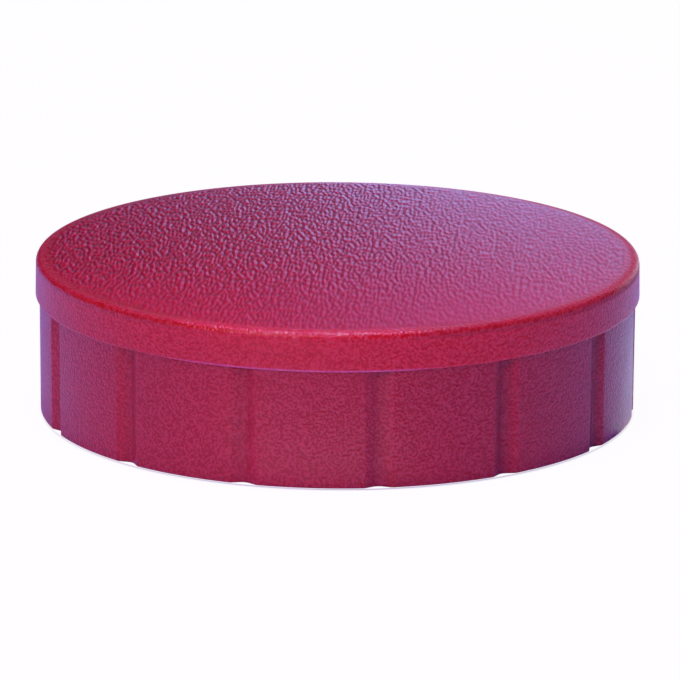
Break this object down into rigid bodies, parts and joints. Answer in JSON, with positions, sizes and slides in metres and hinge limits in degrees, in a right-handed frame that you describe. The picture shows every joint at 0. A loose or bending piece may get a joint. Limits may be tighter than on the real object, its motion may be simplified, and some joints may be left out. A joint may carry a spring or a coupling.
{
  "type": "disc magnet",
  "caption": "Round board magnet: a low-domed plastic shell with a lip and vertical finger notches round its skirt, holding a flat ferrite disc.",
  "frame": {"origin": "centre of the flat holding face, on the axis", "axes": "+Z along the axis, from the holding face to the dome; -Y is the side that the picture shows"},
  "size_m": [0.038, 0.038, 0.0105],
  "materials": {
    "red_plastic": "fine leather grain on the dome, satin on the lip and the skirt",
    "ferrite": "ground dark grey ceramic, dull"
  },
  "bodies": {
    "root": {"shell": "red_plastic", "magnet": "ferrite"}
  },
  "joints": []
}
